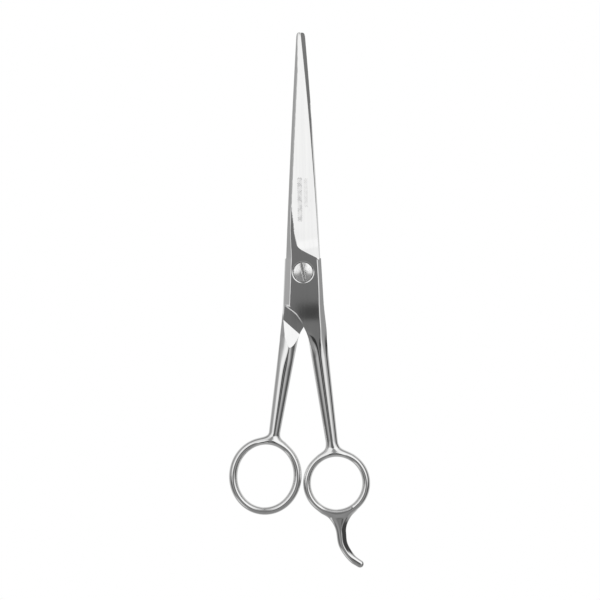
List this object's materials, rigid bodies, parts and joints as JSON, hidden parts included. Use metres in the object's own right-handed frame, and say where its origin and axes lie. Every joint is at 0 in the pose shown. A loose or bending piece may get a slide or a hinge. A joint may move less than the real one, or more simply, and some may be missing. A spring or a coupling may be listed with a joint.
{
  "type": "hair cutting shears",
  "caption": "Slender steel shears for cutting hair: straight pointed blades on a slotted pivot screw, rounded shanks, finger rings and a fixed curved finger rest.",
  "frame": {"origin": "where the pivot axis meets the outer flat of the back half, on which the shears lie", "axes": "+Z from the pivot towards the blade points, +X towards the finger ring, +Y from the screw head towards the back half"},
  "size_m": [0.0558, 0.0063, 0.2115],
  "materials": {
    "half_steel": "polished, with fine grinding lines along the blades",
    "screw_steel": "turned and polished"
  },
  "bodies": {
    "front_half": {"front_half": "half_steel"},
    "back_half": {"back_half": "half_steel"},
    "pivot_screw": {"pivot_screw": "screw_steel"}
  },
  "joints": [
    {"name": "blade_pivot", "type": "hinge", "parent": "front_half", "child": "back_half", "pos_m": [0, 0, 0], "axis": [0, 1, 0], "range_deg": [0, 110]},
    {"name": "tension_screw_turn", "type": "hinge", "parent": "back_half", "child": "pivot_screw", "pos_m": [0, 0, 0], "axis": [0, 1, 0], "range_deg": [-90, 90]}
  ]
}
